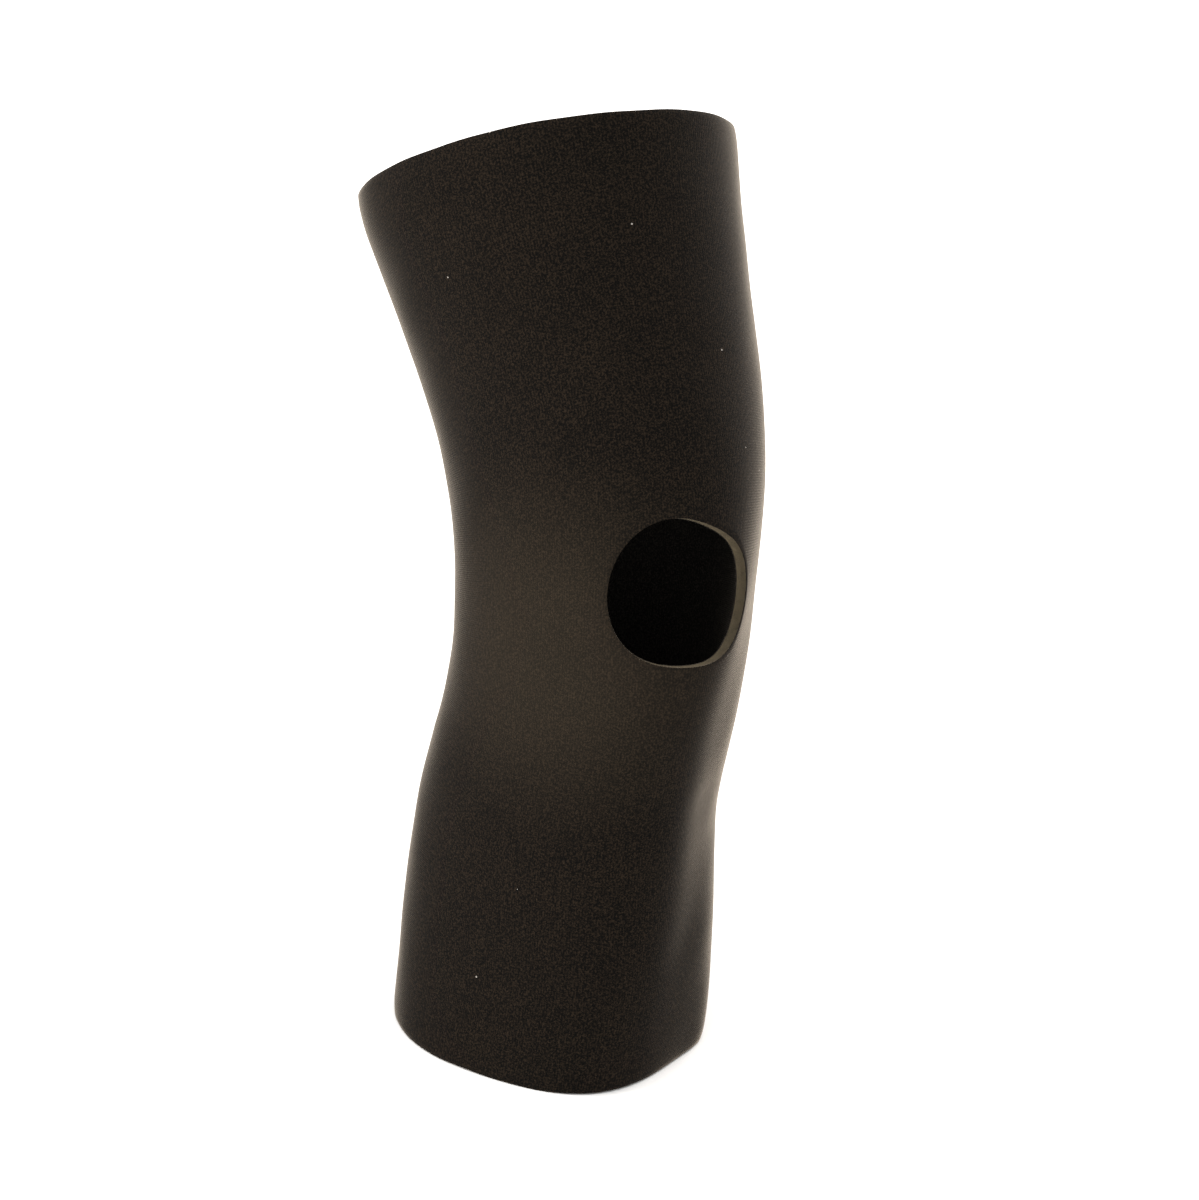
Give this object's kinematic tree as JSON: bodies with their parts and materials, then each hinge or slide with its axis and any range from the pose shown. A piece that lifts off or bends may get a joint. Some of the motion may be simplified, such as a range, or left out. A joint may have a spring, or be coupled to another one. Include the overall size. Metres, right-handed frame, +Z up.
{
  "type": "knee support sleeve",
  "caption": "Pull-on neoprene knee sleeve with an open oval over the kneecap, shaped to a bent leg, that flexes at the knee.",
  "frame": {"origin": "on the plane of the lower cut edge that the sleeve stands on, at the middle of its box in plan", "axes": "+Z up along the shin, -Y the front of the knee with the kneecap hole, +X the side that the shin bone's edge turns towards"},
  "size_m": [0.1472, 0.2084, 0.3617],
  "materials": {
    "jersey": "warm near-black nylon jersey, fine knit, matt with a pale bloom at grazing angles",
    "neoprene_foam": "cut edge of closed-cell neoprene foam, olive grey, fine open pores",
    "lining": "plain black nylon jersey lining, matt",
    "seam_cement": "dried black contact cement, satin",
    "thread": "black twisted polyester thread, slight lustre",
    "label_tape": "blank off-white woven satin tape"
  },
  "bodies": {
    "shin": {"outer_jersey_shin": "jersey", "foam_core_shin": "neoprene_foam", "inner_lining_shin": "lining", "seam_cement_shin": "seam_cement", "outer_seam_thread_shin": "thread", "inner_seam_thread_shin": "thread", "outer_jersey_knee": "jersey", "foam_core_knee": "neoprene_foam", "inner_lining_knee": "lining", "seam_cement_knee": "seam_cement", "outer_seam_thread_knee": "thread", "inner_seam_thread_knee": "thread", "bartack_bottom": "thread"},
    "thigh": {"outer_jersey_thigh": "jersey", "foam_core_thigh": "neoprene_foam", "inner_lining_thigh": "lining", "seam_cement_thigh": "seam_cement", "outer_seam_thread_thigh": "thread", "inner_seam_thread_thigh": "thread", "bartack_top": "thread", "care_label": "label_tape", "care_label_stitches": "thread"}
  },
  "joints": [
    {"name": "knee_flexion", "type": "hinge", "parent": "shin", "child": "thigh", "pos_m": [-0.00087, -0.02203, 0.177], "axis": [-1, 0, 0], "range_deg": [-32, 68], "stiffness_Nm_per_rad": 0.8, "deforming": ["outer_jersey_knee", "foam_core_knee", "inner_lining_knee", "seam_cement_knee", "outer_seam_thread_knee", "inner_seam_thread_knee"]}
  ]
}
